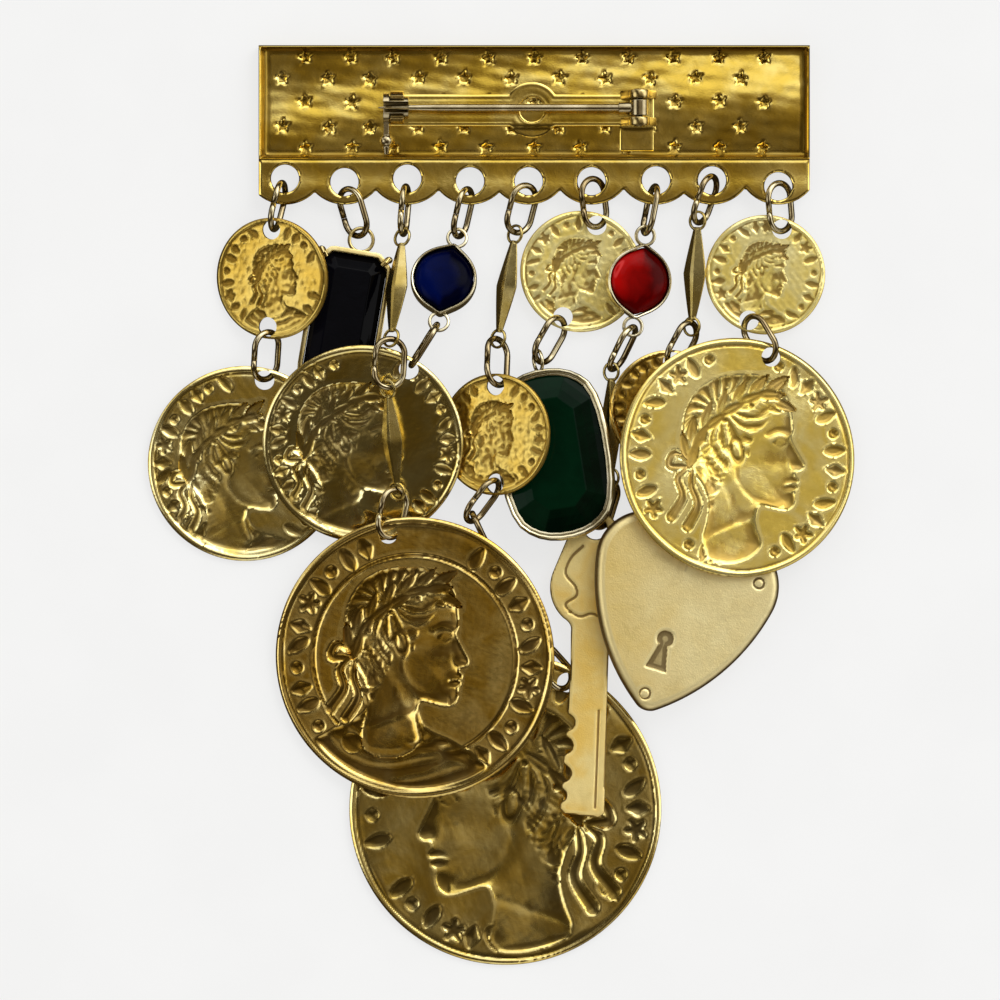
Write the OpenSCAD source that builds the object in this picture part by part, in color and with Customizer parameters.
// Coin charm brooch, lying on its front with the pin side up.
// Millimetres. X runs along the bar, Y up the brooch, Z out of the surface it lies on.
// The origin is under the middle of the whole piece.

/* [Bar] */
// Length of the stamped bar
bar_l = 64.9; // [64.9:0.1:66]
// Height of the starred panel, without the scalloped flange
bar_h = 13.4; // [12.8:0.1:13.6]
// Thickness of the sheet brass
bar_t = 0.6; // [0.5:0.1:0.7]
// Height of the turned-up edges of the tray
bar_edge = 2.4; // [2.3:0.1:2.8]
// Level of the underside of the flange
flange_z = 1.6; // [1.5:0.1:1.7]
// Radius of the nine ring holes
bar_hole_r = 1.65; // [1.6:0.05:1.75]

/* [Pin] */
// Level of the hinge pin and stem above the resting surface
pin_z = 3.2; // [3.2:0.1:3.4]
// Radius of the stem at the hinge
stem_r = 0.46; // [0.4:0.02:0.5]
// Radius of the stem near its tip
stem_tip_r = 0.3; // [0.25:0.05:0.4]
// Outer radius of the catch barrel
catch_r = 2.0; // [1.9:0.05:2]

/* [Rings] */
// Half length of an oval jump ring, to the middle of its wire
ring_a = 2.85; // [2.8:0.01:2.9]
// Half width of an oval jump ring, to the middle of its wire
ring_b = 1.75; // [1.7:0.01:1.8]
// Radius of the ring wire
ring_wire = 0.31; // [0.28:0.01:0.32]
// Width of the slit where a ring closes
ring_slit = 0.1; // [0.06:0.01:0.14]

/* [Coins] */
// Thickness of the stamped sheet
coin_t = 0.5; // [0.4:0.05:0.5]
// Thickness at the rim
coin_rim_t = 0.6; // [0.55:0.05:0.6]
// Radius of the ring holes in the coins
coin_hole_r = 1.15; // [1.1:0.05:1.15]

/* [Links] */
// Width of a faceted link at its middle
link_w = 3.0; // [2.6:0.1:3]
// Thickness of a faceted link at its middle
link_t = 1.4; // [1.1:0.1:1.4]
// Distance between the two holes of a link
link_l = 12.5; // [12.4:0.05:12.55]

/* [Stones] */
// Gap between a stone and its setting
stone_gap = 0.06; // [0.04:0.01:0.1]

/* [Padlock and key] */
// Thickness of the heart padlock
lock_t = 2.8; // [2.4:0.1:2.8]
// Thickness of the key
key_t = 1.0; // [0.8:0.05:1.05]

/* [Hidden] */
$fn = 48;

gold = "#b08d2a";
pale = "#b9ad86";

bar_x0 = -28.6;
bar_x1 = bar_x0 + bar_l;
bar_y1 = 54.2;
bar_y0 = bar_y1 - bar_h;
hinge_x = 16.2;
stem_y = 46.8;
catch_x = -12.3;

// The nine holes of the flange, from the left: x, y
HX = 0; HY = 1;
bar_holes = [
    [-25.5, 38.5], [-18.5, 38.1], [-11.1, 38.5], [-3.7, 38.2], [3.2, 38.2],
    [10.6, 38.2], [18.2, 38.3], [24.8, 38.3], [32.6, 37.6]
];
// Radius of the scallops and the level of their centres
lobe_r = 4.86;
lobe_y = 40.3;

// Coins: name, centre x y z, rise per mm along x and y, radius, holes as [angle from +Y towards +X, distance from the centre]
CN = 0; CX = 1; CY = 2; CZ = 3; CA = 4; CB = 5; CR = 6; CH = 7;
coins = [
    ["s1_small",  -26.95, 26.70, 3.30,  0.42,  0.10,  7.15, [[2, 5.75], [188, 5.75]]],
    ["s1_medium", -30.20,  4.95, 0.80,  0.00,  0.03,  11.5, [[13, 10.1]]],
    ["s3_large",  -10.20, -17.90, 3.80, 0.158, 0.07,  16.6, [[-11.6, 14.9]]],
    ["s4_medium", -16.30,  7.25, 3.65,  0.00,  0.2045, 11.8, [[31.4, 10.4]]],
    ["s5_small",   -0.70,  8.35, 4.40,  0.50,  0.00,  7.15, [[1, 5.75], [180, 5.75]]],
    ["s5_great",    0.45, -35.80, 0.80, 0.00,  0.025, 18.4, [[25.9, 16.6]]],
    ["s6_small",    9.35, 27.58, 1.30,  0.00,  0.00,  7.15, [[19, 5.75], [201.5, 5.75]]],
    ["s8_small",   19.80, 11.20, 3.00,  0.00,  0.00,  7.10, [[3.5, 5.7], [186, 5.7]]],
    ["s9_small",   31.10, 27.20, 1.30,  0.00,  0.00,  7.05, [[20, 5.7], [199.8, 5.7]]],
    ["s9_large",   27.70,  5.65, 4.30, -0.19, -0.08,  14.1, [[19.7, 12.6]]]
];

// Faceted links: name, centre x y z, heading from -Y towards +X, rise per mm from the upper hole to the lower, roll about the length
LX = 1; LY = 2; LZ = 3; LH = 4; LS = 5; LR = 6;
links = [
    ["s3_upper", -12.30, 25.60, 5.00,  -6.0,  0.30, -38],
    ["s3_lower", -12.80,  7.65, 5.45,   5.0, -0.25, -38],
    ["s5_upper",   0.60, 25.80, 1.95,  -9.2,  0.08, -42],
    ["s5_lower",   1.70, -11.60, 2.40, 26.0,  0.00, -32],
    ["s7",        12.94,  9.50, 1.50,   0.0,  0.02, -38],
    ["s8",        22.75, 27.30, 2.20,  -3.2,  0.02, -34]
];

// Stones in settings: name, centre x y z, rise per mm along x and y, turn, width, length, corner cut, thickness
SX = 1; SY = 2; SZ = 3; SA = 4; SB = 5; ST = 6; SW = 7; SL = 8; SC = 9; SH = 10;
stones = [
    ["black", -18.50, 21.80, 2.20, -0.04, -0.07, -9.5, 9.2, 16.8, 1.7, 2.8],
    ["green",   6.25,  6.00, 3.52,  0.10, -0.085, 9.5, 13.4, 20.2, 3.6, 2.4],
    ["blue",   -6.80, 26.55, 3.40,  0.00, -0.30,   0,  7.8,  7.8, 0,   2.8],
    ["red",    16.10, 26.40, 2.95, -0.26,  0.00,   0,  7.8,  7.8, 0,   2.4]
];
// Eyes on the settings: direction from +Y towards +X and distance of each eye from the centre of its stone
eye_r = 0.92;
eye_rim = 0.38;
eye_t = 0.4;
blue_eyes = [[17, 5.4], [186, 5.2]];
red_eyes = [[9, 5.4], [187, 5.4]];
black_eye = [0.4, 9.7];
green_eye = [-0.2, 11.25];

// Heart padlock: x y z of the lower tip, rise per mm along x, lean of the axis towards +X
lock_at = [16.30, -24.40, 4.15];
lock_rise = -0.10;
lock_lean = 18;
// Key: x y z of the middle of its bow, rise per mm along y, turn
key_at = [10.65, -8.75, 1.95];
key_rise = -0.045;
key_turn = -2.2;
key_eye = [0.21, 6.09];

function unit(v) = v / norm(v);
function by_name(table, name) = table[search([name], table, 1, 0)[0]];
// A plane through a point, from its rises along x and y and a turn: [x axis, y axis, normal, origin]
function plane(o, a, b, turn = 0) =
    let (n = unit([-a, -b, 1]), e = unit([1, 0, a]), f = cross(n, e))
    [e * cos(turn) + f * sin(turn), f * cos(turn) - e * sin(turn), n, o];
function on(p, q) = p[3] + p[0] * q[0] + p[1] * q[1] + p[2] * q[2];
function polar(deg, d) = [d * sin(deg), d * cos(deg), 0];
module lay(p) {
    multmatrix([
        [p[0][0], p[1][0], p[2][0], p[3][0]],
        [p[0][1], p[1][1], p[2][1], p[3][1]],
        [p[0][2], p[1][2], p[2][2], p[3][2]],
        [0, 0, 0, 1]
    ]) children();
}

function coin_plane(c) = plane([c[CX], c[CY], c[CZ]], c[CA], c[CB]);
function coin_hole(name, i) =
    let (c = by_name(coins, name)) on(coin_plane(c), polar(c[CH][i][0], c[CH][i][1]));
function stone_plane(s) = plane([s[SX], s[SY], s[SZ]], s[SA], s[SB], s[ST]);
// The axes of a link: [across, back along the length, through the holes, centre]
function link_plane(k) =
    let (
        u = unit([sin(k[LH]), -cos(k[LH]), k[LS]]),
        s = unit(cross(u, [0, 0, 1])),
        n = cross(s, u),
        w = s * cos(k[LR]) + n * sin(k[LR])
    ) [w, -u, cross(w, -u), [k[LX], k[LY], k[LZ]]];
function link_hole(name, i) = on(link_plane(by_name(links, name)), [0, (1 - 2 * i) * link_l / 2, 0]);
function bar_hole(i) = [bar_holes[i - 1][HX], bar_holes[i - 1][HY], flange_z + bar_t / 2];
function lock_plane() = plane(lock_at, lock_rise, 0, -lock_lean);
function key_plane() = plane(key_at, 0, key_rise, key_turn);

// Play of the wire in each kind of hole
bar_play = bar_hole_r - ring_wire - 0.03;
coin_play = coin_hole_r - ring_wire - 0.03;
link_hole_r = 0.9;
link_play = link_hole_r - ring_wire - 0.03;
eye_play = eye_r - ring_wire - 0.03;

// A jump ring through two holes: from, play there, to, play there, lean of its plane (90 stands on edge)
function ring_axes(p, pp, q, qp, lean, shift = 0) =
    let (
        u = unit(q - p),
        slack = norm(q - p) - 2 * ring_a,
        s = unit(cross(u, [0, 0, 1])),
        w = s * cos(lean) + cross(s, u) * sin(lean),
        from = p + u * (slack * pp / (pp + qp) + shift)
    ) [u, w, cross(u, w), from + u * ring_a];
straight = ring_a - ring_b;
// Oval ring: two half turns of wire and two straight sides, split across one side
module oval_ring() {
    color(pale) difference() {
        union() {
            translate([straight, 0, 0]) rotate([0, 0, -90]) rotate_extrude(angle = 180) translate([ring_b, 0]) circle(r = ring_wire);
            translate([-straight, 0, 0]) rotate([0, 0, 90]) rotate_extrude(angle = 180) translate([ring_b, 0]) circle(r = ring_wire);
            for (y = [-ring_b, ring_b]) translate([-straight, y, 0]) rotate([0, 90, 0]) cylinder(r = ring_wire, h = 2 * straight);
        }
        translate([0.4 - ring_slit / 2, ring_b - 0.8, -1]) cube([ring_slit, 1.6, 2]);
    }
}
module ring(p, pp, q, qp, lean, shift = 0) { lay(ring_axes(p, pp, q, qp, lean, shift)) oval_ring(); }

// Stamped coin: sheet with a thicker rim and its ring holes
module coin(name) {
    c = by_name(coins, name);
    color(gold) lay(coin_plane(c)) difference() {
        rotate_extrude($fn = 96) polygon([
            [0, -coin_t / 2], [c[CR] - 1.0, -coin_t / 2], [c[CR] - 0.8, -coin_rim_t / 2], [c[CR] - 0.15, -coin_rim_t / 2],
            [c[CR], -coin_rim_t / 2 + 0.15], [c[CR], coin_rim_t / 2 - 0.15],
            [c[CR] - 0.15, coin_rim_t / 2], [c[CR] - 0.8, coin_rim_t / 2], [c[CR] - 1.0, coin_t / 2], [0, coin_t / 2]
        ]);
        for (h = c[CH]) translate(polar(h[0], h[1]) - [0, 0, 2]) cylinder(r = coin_hole_r, h = 4);
    }
}

// Four-sided spindle with an eye at each end
module link(name) {
    d = link_l / 2 - 0.75;
    color(gold) lay(link_plane(by_name(links, name))) difference() {
        union() {
            for (s = [-1, 1]) rotate([s * 90, 0, 0]) linear_extrude(height = d, slices = 1, scale = 0.3)
                polygon([[-link_w / 2, 0], [0, -link_t / 2], [link_w / 2, 0], [0, link_t / 2]]);
            for (s = [-1, 1]) translate([0, s * link_l / 2, -0.2]) cylinder(r = 1.22, h = 0.4);
        }
        for (s = [-1, 1]) translate([0, s * link_l / 2, -1]) cylinder(r = link_hole_r, h = 2);
    }
}

module octagon(w, l, c) {
    polygon([
        [w / 2, l / 2 - c], [w / 2 - c, l / 2], [c - w / 2, l / 2], [-w / 2, l / 2 - c],
        [-w / 2, c - l / 2], [c - w / 2, -l / 2], [w / 2 - c, -l / 2], [w / 2, c - l / 2]
    ]);
}
// Step-cut stone with a table on both sides
module step_stone(s, wall) {
    w = s[SW] - 2 * wall - 2 * stone_gap;
    l = s[SL] - 2 * wall - 2 * stone_gap;
    c = s[SC] - wall * 0.6;
    lay(stone_plane(s)) union() {
        translate([0, 0, -0.5]) linear_extrude(height = 1.0) octagon(w, l, c);
        for (m = [0, 1]) mirror([0, 0, m]) translate([0, 0, 0.5])
            linear_extrude(height = s[SH] / 2 - 0.5, slices = 1, scale = [(w - 3) / w, (l - 3) / l]) octagon(w, l, c);
    }
}
module eye(x, y, r, rim, edge = 0) {
    translate([x, y, 0]) rotate([0, edge, 0]) difference() {
        translate([0, 0, -eye_t / 2]) cylinder(r = r + rim, h = eye_t);
        translate([0, 0, -1]) cylinder(r = r, h = 2);
    }
}
module step_setting(s, wall, h) {
    difference() {
        translate([0, 0, -h / 2]) linear_extrude(height = h) octagon(s[SW], s[SL], s[SC]);
        translate([0, 0, -h]) linear_extrude(height = 2 * h)
            octagon(s[SW] - 2 * wall, s[SL] - 2 * wall, s[SC] - wall * 0.6);
    }
}
module round_setting(s, eyes) {
    r = s[SW] / 2;
    color(pale) lay(stone_plane(s)) difference() {
        union() {
            translate([0, 0, -0.8]) cylinder(r = r, h = 1.6, $fn = 64);
            for (e = eyes) rotate([0, 0, -e[0]]) {
                translate([0, e[1], -eye_t / 2]) cylinder(r = eye_r + eye_rim, h = eye_t);
                translate([0, 0, -0.35]) linear_extrude(height = 0.7)
                    polygon([[-2.1, r - 0.7], [-0.5, r + 0.3], [0.5, r + 0.3], [2.1, r - 0.7]]);
            }
        }
        translate([0, 0, -2]) cylinder(r = r - 0.4, h = 4, $fn = 64);
        for (e = eyes) rotate([0, 0, -e[0]]) translate([0, e[1], -2]) cylinder(r = eye_r, h = 4);
    }
}
module round_stone(s) {
    r = s[SW] / 2 - 0.4 - stone_gap;
    lay(stone_plane(s)) union() {
        translate([0, 0, -0.5]) cylinder(r = r, h = 1.0, $fn = 64);
        translate([0, 0, 0.5]) cylinder(r1 = r, r2 = r * 0.55, h = s[SH] / 2 - 0.5, $fn = 64);
        translate([0, 0, -s[SH] / 2]) cylinder(r1 = r * 0.55, r2 = r, h = s[SH] / 2 - 0.5, $fn = 64);
    }
}

module bar_tray() {
    translate([bar_x0, bar_y0, 0]) cube([bar_l, bar_h, bar_t]);
    translate([bar_x0, bar_y0, 0]) cube([bar_t, bar_h, bar_edge]);
    translate([bar_x1 - bar_t, bar_y0, 0]) cube([bar_t, bar_h, bar_edge]);
    translate([bar_x0, bar_y1 - bar_t, 0]) cube([bar_l, bar_t, bar_edge]);
    translate([bar_x0, bar_y0, 0]) cube([bar_l, bar_t, flange_z + bar_t]);
}
module bar_flange() {
    translate([0, 0, flange_z]) linear_extrude(height = bar_t) difference() {
        intersection() {
            translate([bar_x0, 30]) square([bar_l, bar_y0 - 29.7]);
            union() {
                translate([bar_x0, 38.8]) square([bar_l, 4]);
                for (h = bar_holes) translate([h[HX], lobe_y]) circle(r = lobe_r, $fn = 64);
            }
        }
        for (h = bar_holes) translate([h[HX], h[HY]]) circle(r = bar_hole_r);
    }
}
// Pin back: base strip with a round middle, two hinge ears and the fixed half of the catch, all soldered to the bar
module pin_back() {
    difference() {
        union() {
            translate([catch_x - 1.6, 44.7, bar_t - 0.1]) cube([18 - catch_x + 1.6, 3.8, 0.7]);
            translate([3.6, 46.65, bar_t - 0.1]) cylinder(r = 3.3, h = 0.7);
        }
        translate([3.6, 46.65, bar_t]) cylinder(r = 1.4, h = 2);
    }
    for (y = [44.7, 47.9]) difference() {
        union() {
            translate([hinge_x, y + 1.0, pin_z]) rotate([90, 0, 0]) cylinder(r = 1.3, h = 1.0);
            translate([hinge_x - 1.3, y, bar_t + 0.3]) cube([2.6, 1.0, pin_z - bar_t - 0.3]);
        }
        translate([hinge_x, y + 2, pin_z]) rotate([90, 0, 0]) cylinder(r = 0.5, h = 3);
    }
    difference() {
        union() {
            translate([catch_x - 0.8, stem_y, pin_z]) rotate([0, 90, 0]) cylinder(r = catch_r, h = 1.6);
            translate([catch_x - 0.8, stem_y - 1.2, bar_t + 0.3]) cube([1.6, 2.4, 1.2]);
        }
        translate([catch_x - 2, stem_y, pin_z]) rotate([0, 90, 0]) cylinder(r = 1.45, h = 4);
        translate([catch_x - 2, stem_y - 1.3, pin_z + 0.2]) cube([4, 2.6, 4]);
    }
}
module bar() {
    color(gold) union() {
        bar_tray();
        bar_flange();
        pin_back();
    }
}
// Stem with its hinge eye, and the rivet that it turns with
module pin_stem() {
    color(pale) union() {
        translate([hinge_x, 47.7, pin_z]) rotate([90, 0, 0]) cylinder(r = 1.15, h = 1.8);
        translate([hinge_x, 48.9, pin_z]) rotate([90, 0, 0]) cylinder(r = 0.42, h = 4.2);
        translate([hinge_x, stem_y, pin_z]) rotate([0, -90, 0]) cylinder(r = stem_r, h = 24);
        translate([hinge_x, stem_y, pin_z]) rotate([0, -90, 0]) cylinder(r = stem_r + 0.2, h = 2.4);
        translate([hinge_x - 24, stem_y, pin_z]) rotate([0, -90, 0]) cylinder(r1 = stem_r, r2 = stem_tip_r, h = hinge_x - catch_x - 23.4);
        translate([catch_x - 0.6, stem_y, pin_z]) rotate([0, -90, 0]) cylinder(r1 = stem_tip_r, r2 = 0.08, h = 1.6);
    }
}
// Turning half of the catch: a slotted sleeve, with its lever on an end plate
module rollover() {
    color(pale) difference() {
        union() {
            translate([catch_x - 0.95, stem_y, pin_z]) rotate([0, 90, 0]) cylinder(r = 1.35, h = 2.3);
            translate([catch_x - 1.6, stem_y, pin_z]) rotate([0, 90, 0]) cylinder(r = 1.8, h = 0.7);
            translate([catch_x - 1.55, stem_y - 3.6, pin_z - 0.45]) cube([0.6, 3, 0.9]);
            translate([catch_x - 1.25, stem_y - 3.9, pin_z]) sphere(r = 0.8);
            translate([catch_x - 1.25, stem_y - 4.6, pin_z]) rotate([90, 0, 0]) cylinder(r1 = 0.5, r2 = 0.3, h = 0.9);
        }
        translate([catch_x - 3, stem_y, pin_z]) rotate([0, 90, 0]) cylinder(r = 0.75, h = 6);
        translate([catch_x - 3, stem_y - 0.65, pin_z]) cube([6, 1.3, 3]);
    }
}

// Straight-sided piece that fills the space between two circles
module tangents(p, r, q, s) {
    u = (q - p) / norm(q - p);
    w = [-u[1], u[0]];
    c = (r - s) / norm(q - p);
    k = sqrt(1 - c * c);
    polygon([p + (u * c + w * k) * r * 0.998, q + (u * c + w * k) * s * 0.998, q + (u * c - w * k) * s * 0.998, p + (u * c - w * k) * r * 0.998]);
}
module heart(inset) {
    // tip and lobes each touch the side arc that they meet
    translate([0.427, 2.5]) circle(r = 1.993 - inset, $fn = 64);
    translate([5.0, 17.3]) circle(r = 6.3 - inset, $fn = 90);
    translate([-5.0, 17.3]) circle(r = 5.8 - inset, $fn = 90);
    intersection() {
        translate([-13.3, 20.9]) circle(r = 24.95 - inset, $fn = 240);
        translate([13.3, 20.9]) circle(r = 24.45 - inset, $fn = 240);
        translate([-13, 0.9 + inset * 0.8]) square([26, 15.2 - inset * 0.6]);
    }
}
module heart_plate(inset, h) {
    linear_extrude(height = h) intersection() {
        translate([-14, inset]) square([28, 30]);
        heart(inset);
    }
}
module padlock() {
    color(gold) lay(lock_plane()) difference() {
        union() {
            translate([0, 0, -lock_t / 2 + 0.7]) heart_plate(0, lock_t - 1.4);
            translate([0, 0, -lock_t / 2 + 0.3]) heart_plate(0.45, lock_t - 0.6);
            translate([0, 0, -lock_t / 2]) heart_plate(1.1, lock_t);
            // shackle
            for (s = [-1, 1]) translate([s * 4.4, 19, 0]) rotate([-90, 0, 0]) cylinder(r = 0.85, h = 5.6);
            translate([0, 24.6, 0]) rotate_extrude(angle = 180) translate([4.4, 0]) circle(r = 0.85);
            // rivet heads
            for (p = [[-0.8, 1.9], [8.2, 19.1]]) translate([p[0], p[1], lock_t / 2 - 0.7]) cylinder(r = 0.65, h = 0.7 + (p[1] > 5 ? 0.12 : 0));
        }
        // keyhole, sunk into the face
        translate([0, 9.2, lock_t / 2 - 0.5]) cylinder(r = 1.05, h = 1);
        translate([0, 0, lock_t / 2 - 0.5]) linear_extrude(height = 1) polygon([[-1.35, 5.4], [1.35, 5.4], [0.5, 9.0], [-0.5, 9.0]]);
    }
}
// Flat key: pear-shaped bow, shank, and a blade with round notches cut in its left edge
key_notches = [[-16.9, 0.95], [-19.6, 0.95], [-22.9, 1.0], [-25.5, 0.7]]; // y, radius
module key() {
    color(gold) lay(key_plane()) translate([0, 0, -key_t / 2]) difference() {
        union() {
            linear_extrude(height = key_t) union() {
                translate([0, -0.9]) circle(r = 4.9, $fn = 64);
                translate([0.15, 5.2]) circle(r = 2.9, $fn = 48);
                tangents([0, -0.9], 4.9, [0.15, 5.2], 2.9);
                polygon([[-2.3, -4.5], [2.3, -4.5], [2.3, -11], [2.5, -27.4], [1.9, -27.9], [-2.2, -27.6], [-2.75, -27.0], [-2.1, -11]]);
            }
        }
        translate([key_eye[0], key_eye[1], -1]) cylinder(r = 1.32, h = key_t + 2);
        for (n = key_notches) translate([-2.1 + 0.04 * (n[0] + 11), n[0], -1]) cylinder(r = n[1], h = key_t + 2);
        translate([1.25, -27.0, key_t - 0.25]) cube([0.35, 12, 1]);
    }
}

s_black = by_name(stones, "black");
s_green = by_name(stones, "green");
s_blue = by_name(stones, "blue");
s_red = by_name(stones, "red");
function eye_at(s, e) = on(stone_plane(s), polar(e[0], e[1]));
key_hole = on(key_plane(), [key_eye[0], key_eye[1], 0]);
lock_eye = on(lock_plane(), [-1.2, 27.3, 0]);
// The second ring of strand 5 hangs in the first, so it starts inside that ring's lower end
s5_low_axes = ring_axes(coin_hole("s5_small", 1), coin_play, [-3.9, -1.7, 4.6], 0.1, 60);
s5_low_end = s5_low_axes[3] + s5_low_axes[0] * (ring_a - 0.9);

module s1_ring_top() { ring(bar_hole(1), bar_play, coin_hole("s1_small", 0), coin_play, 73, 0.15); }
module s1_small_coin() { coin("s1_small"); }
module s1_ring_low() { ring(coin_hole("s1_small", 1), coin_play, coin_hole("s1_medium", 0), coin_play, 40, 0.28); }
module s1_medium_coin() { coin("s1_medium"); }

module s2_ring_top() { ring(bar_hole(2), bar_play, on(stone_plane(s_black), [black_eye[0], black_eye[1], 0]), 0.8, -45); }
module s2_black_setting() {
    color(gold) lay(stone_plane(s_black)) union() {
        step_setting(s_black, 0.6, 2.4);
        for (x = [-1, 1], y = [-1, 1]) translate([x * 3.75, y * 7.55, 0.9]) sphere(r = 0.55);
        eye(black_eye[0], black_eye[1], 1.2, 0.42);
    }
}
module s2_black_stone() {
    color("#101018") difference() {
        step_stone(s_black, 0.6);
        lay(stone_plane(s_black)) for (x = [-1, 1], y = [-1, 1]) translate([x * 3.75, y * 7.55, 0.9]) sphere(r = 0.62);
    }
}

module s3_ring_top() { ring(bar_hole(3), bar_play, link_hole("s3_upper", 0), link_play, 78); }
module s3_link_upper() { link("s3_upper"); }
module s3_ring_mid() { ring(link_hole("s3_upper", 1), link_play, link_hole("s3_lower", 0), link_play, 15); }
module s3_link_lower() { link("s3_lower"); }
module s3_ring_low() { ring(link_hole("s3_lower", 1), link_play, coin_hole("s3_large", 0), coin_play, 35); }
module s3_large_coin() { coin("s3_large"); }

module s4_ring_top() { ring(bar_hole(4), bar_play, eye_at(s_blue, blue_eyes[0]), eye_play, 65, 0.15); }
module s4_blue_setting() { round_setting(s_blue, blue_eyes); }
module s4_blue_stone() { color("#10188a") round_stone(s_blue); }
module s4_ring_low() { ring(eye_at(s_blue, blue_eyes[1]), eye_play, coin_hole("s4_medium", 0), coin_play, -85); }
module s4_medium_coin() { coin("s4_medium"); }

module s5_ring_top() { ring(bar_hole(5), bar_play, link_hole("s5_upper", 0), link_play, 38); }
module s5_link_upper() { link("s5_upper"); }
module s5_ring_mid() { ring(link_hole("s5_upper", 1), link_play, coin_hole("s5_small", 0), coin_play, 48); }
module s5_small_coin() { coin("s5_small"); }
module s5_ring_low() { lay(s5_low_axes) oval_ring(); }
module s5_ring_second() { ring(s5_low_end, 0.1, link_hole("s5_lower", 0), link_play, -90); }
module s5_link_lower() { link("s5_lower"); }
module s5_ring_coin() { ring(link_hole("s5_lower", 1), link_play, coin_hole("s5_great", 0), coin_play, 38); }
module s5_great_coin() { coin("s5_great"); }

module s6_ring_top() { ring(bar_hole(6), bar_play, coin_hole("s6_small", 0), coin_play, 40); }
module s6_small_coin() { coin("s6_small"); }
module s6_ring_low() { ring(coin_hole("s6_small", 1), coin_play, on(stone_plane(s_green), [green_eye[0], green_eye[1], 0]), 0.76, 49, 0.15); }
module s6_green_setting() {
    color(pale) lay(stone_plane(s_green)) union() {
        step_setting(s_green, 0.45, 2.0);
        eye(green_eye[0], green_eye[1], 1.1, 0.36, -62);
    }
}
module s6_green_stone() { color("#063a1c") step_stone(s_green, 0.45); }

module s7_ring_top() { ring(bar_hole(7), bar_play, eye_at(s_red, red_eyes[0]), eye_play, -75); }
module s7_red_setting() { round_setting(s_red, red_eyes); }
module s7_red_stone() { color("#b01010") round_stone(s_red); }
module s7_ring_mid() { ring(eye_at(s_red, red_eyes[1]), eye_play, link_hole("s7", 0), link_play, 69, -0.15); }
module s7_link() { link("s7"); }
module s7_ring_low() { ring(link_hole("s7", 1), link_play, key_hole, 0.98, 40, 0.15); }
module s7_key() { key(); }

module s8_ring_top() { ring(bar_hole(8), bar_play, link_hole("s8", 0), link_play, 60); }
module s8_link() { link("s8"); }
module s8_ring_mid() { ring(link_hole("s8", 1), link_play, coin_hole("s8_small", 0), coin_play, 50); }
module s8_small_coin() { coin("s8_small"); }
module s8_ring_low() { ring(coin_hole("s8_small", 1), coin_play, lock_eye, 0.8, 70); }
module s8_padlock() { padlock(); }

module s9_ring_top() { ring(bar_hole(9), bar_play, coin_hole("s9_small", 0), coin_play, 40); }
module s9_small_coin() { coin("s9_small"); }
module s9_ring_low() { ring(coin_hole("s9_small", 1), coin_play, coin_hole("s9_large", 0), coin_play, -42); }
module s9_large_coin() { coin("s9_large"); }

bar();
pin_stem();
rollover();
s1_ring_top();
s1_small_coin();
s1_ring_low();
s1_medium_coin();
s2_ring_top();
s2_black_setting();
s2_black_stone();
s3_ring_top();
s3_link_upper();
s3_ring_mid();
s3_link_lower();
s3_ring_low();
s3_large_coin();
s4_ring_top();
s4_blue_setting();
s4_blue_stone();
s4_ring_low();
s4_medium_coin();
s5_ring_top();
s5_link_upper();
s5_ring_mid();
s5_small_coin();
s5_ring_low();
s5_ring_second();
s5_link_lower();
s5_ring_coin();
s5_great_coin();
s6_ring_top();
s6_small_coin();
s6_ring_low();
s6_green_setting();
s6_green_stone();
s7_ring_top();
s7_red_setting();
s7_red_stone();
s7_ring_mid();
s7_link();
s7_ring_low();
s7_key();
s8_ring_top();
s8_link();
s8_ring_mid();
s8_small_coin();
s8_ring_low();
s8_padlock();
s9_ring_top();
s9_small_coin();
s9_ring_low();
s9_large_coin();
